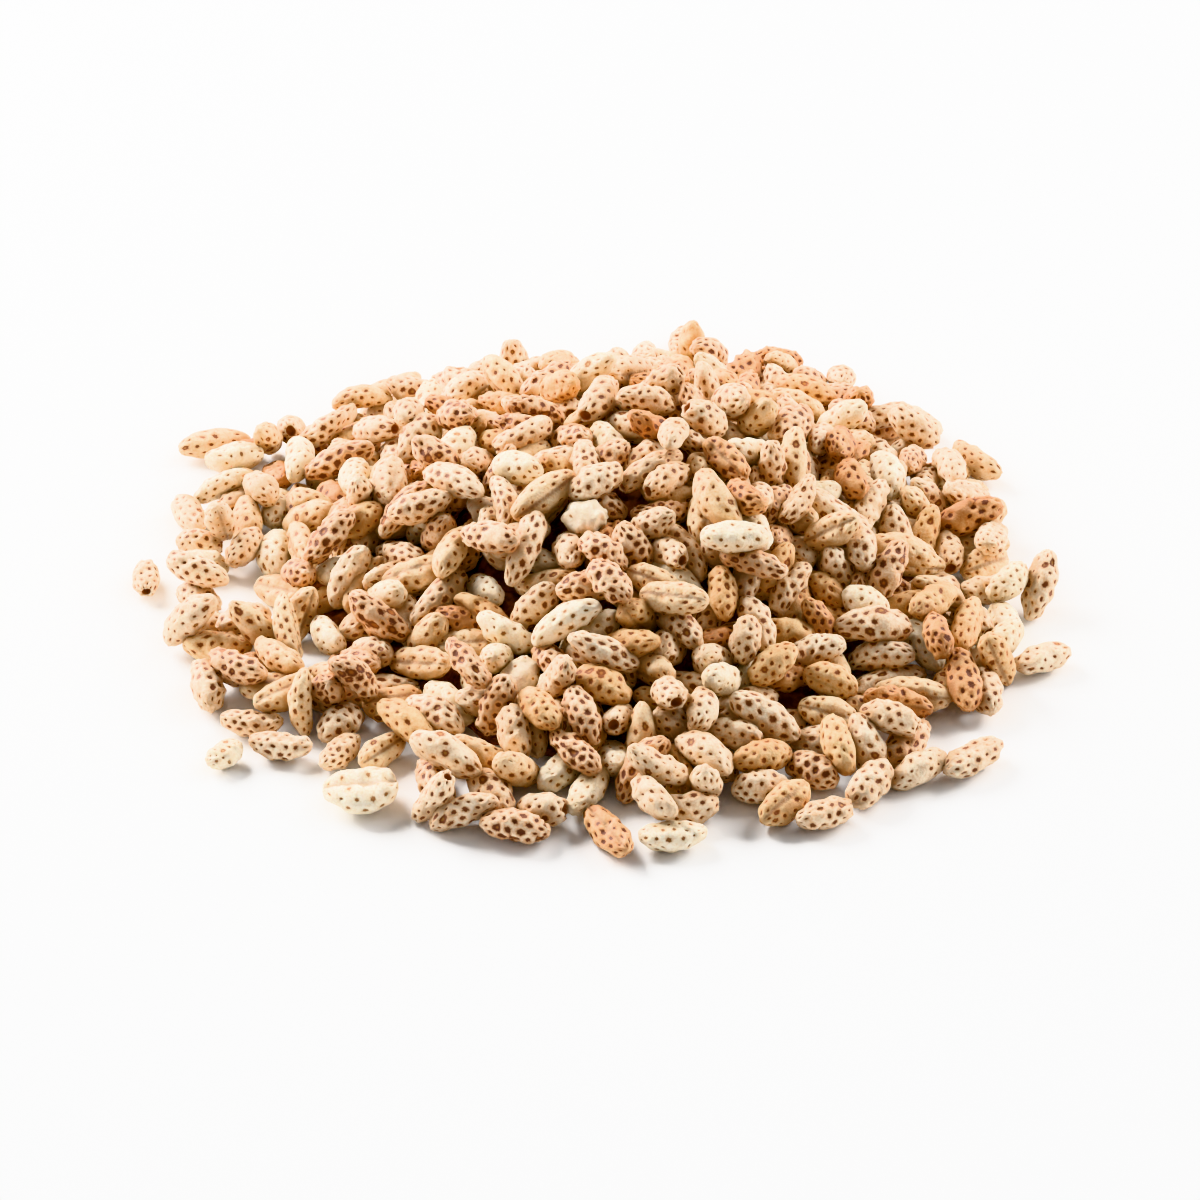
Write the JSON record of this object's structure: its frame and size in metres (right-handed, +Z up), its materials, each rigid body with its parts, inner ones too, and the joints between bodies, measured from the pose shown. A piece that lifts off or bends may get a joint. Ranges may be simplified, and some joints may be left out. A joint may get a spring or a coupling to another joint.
{
  "type": "heap of puffed barley",
  "caption": "Loose heap of puffed, speckled barley grains lying on a flat surface, with a few grains apart from it; no bowl.",
  "frame": {"origin": "on the surface the heap lies on, at the middle of the heap's base", "axes": "+Z up, +X to the right and -Y to the front as the picture shows the heap"},
  "size_m": [0.1423, 0.1405, 0.027],
  "materials": {
    "heap_grain": "matt toasted shell, cream ridges round brown pits",
    "apart_grain": "matt toasted shell, paler, with cream ridges round brown pits"
  },
  "bodies": {
    "root": {"barley_heap": "heap_grain", "apart_left": "apart_grain", "apart_right": "apart_grain", "apart_front_right": "apart_grain", "apart_front_holed": "apart_grain", "apart_front_pale": "apart_grain", "apart_front_wide": "apart_grain", "apart_left_lean": "apart_grain", "apart_left_front": "apart_grain", "apart_left_mid": "apart_grain", "apart_left_pale": "apart_grain", "apart_back": "apart_grain"}
  },
  "joints": []
}
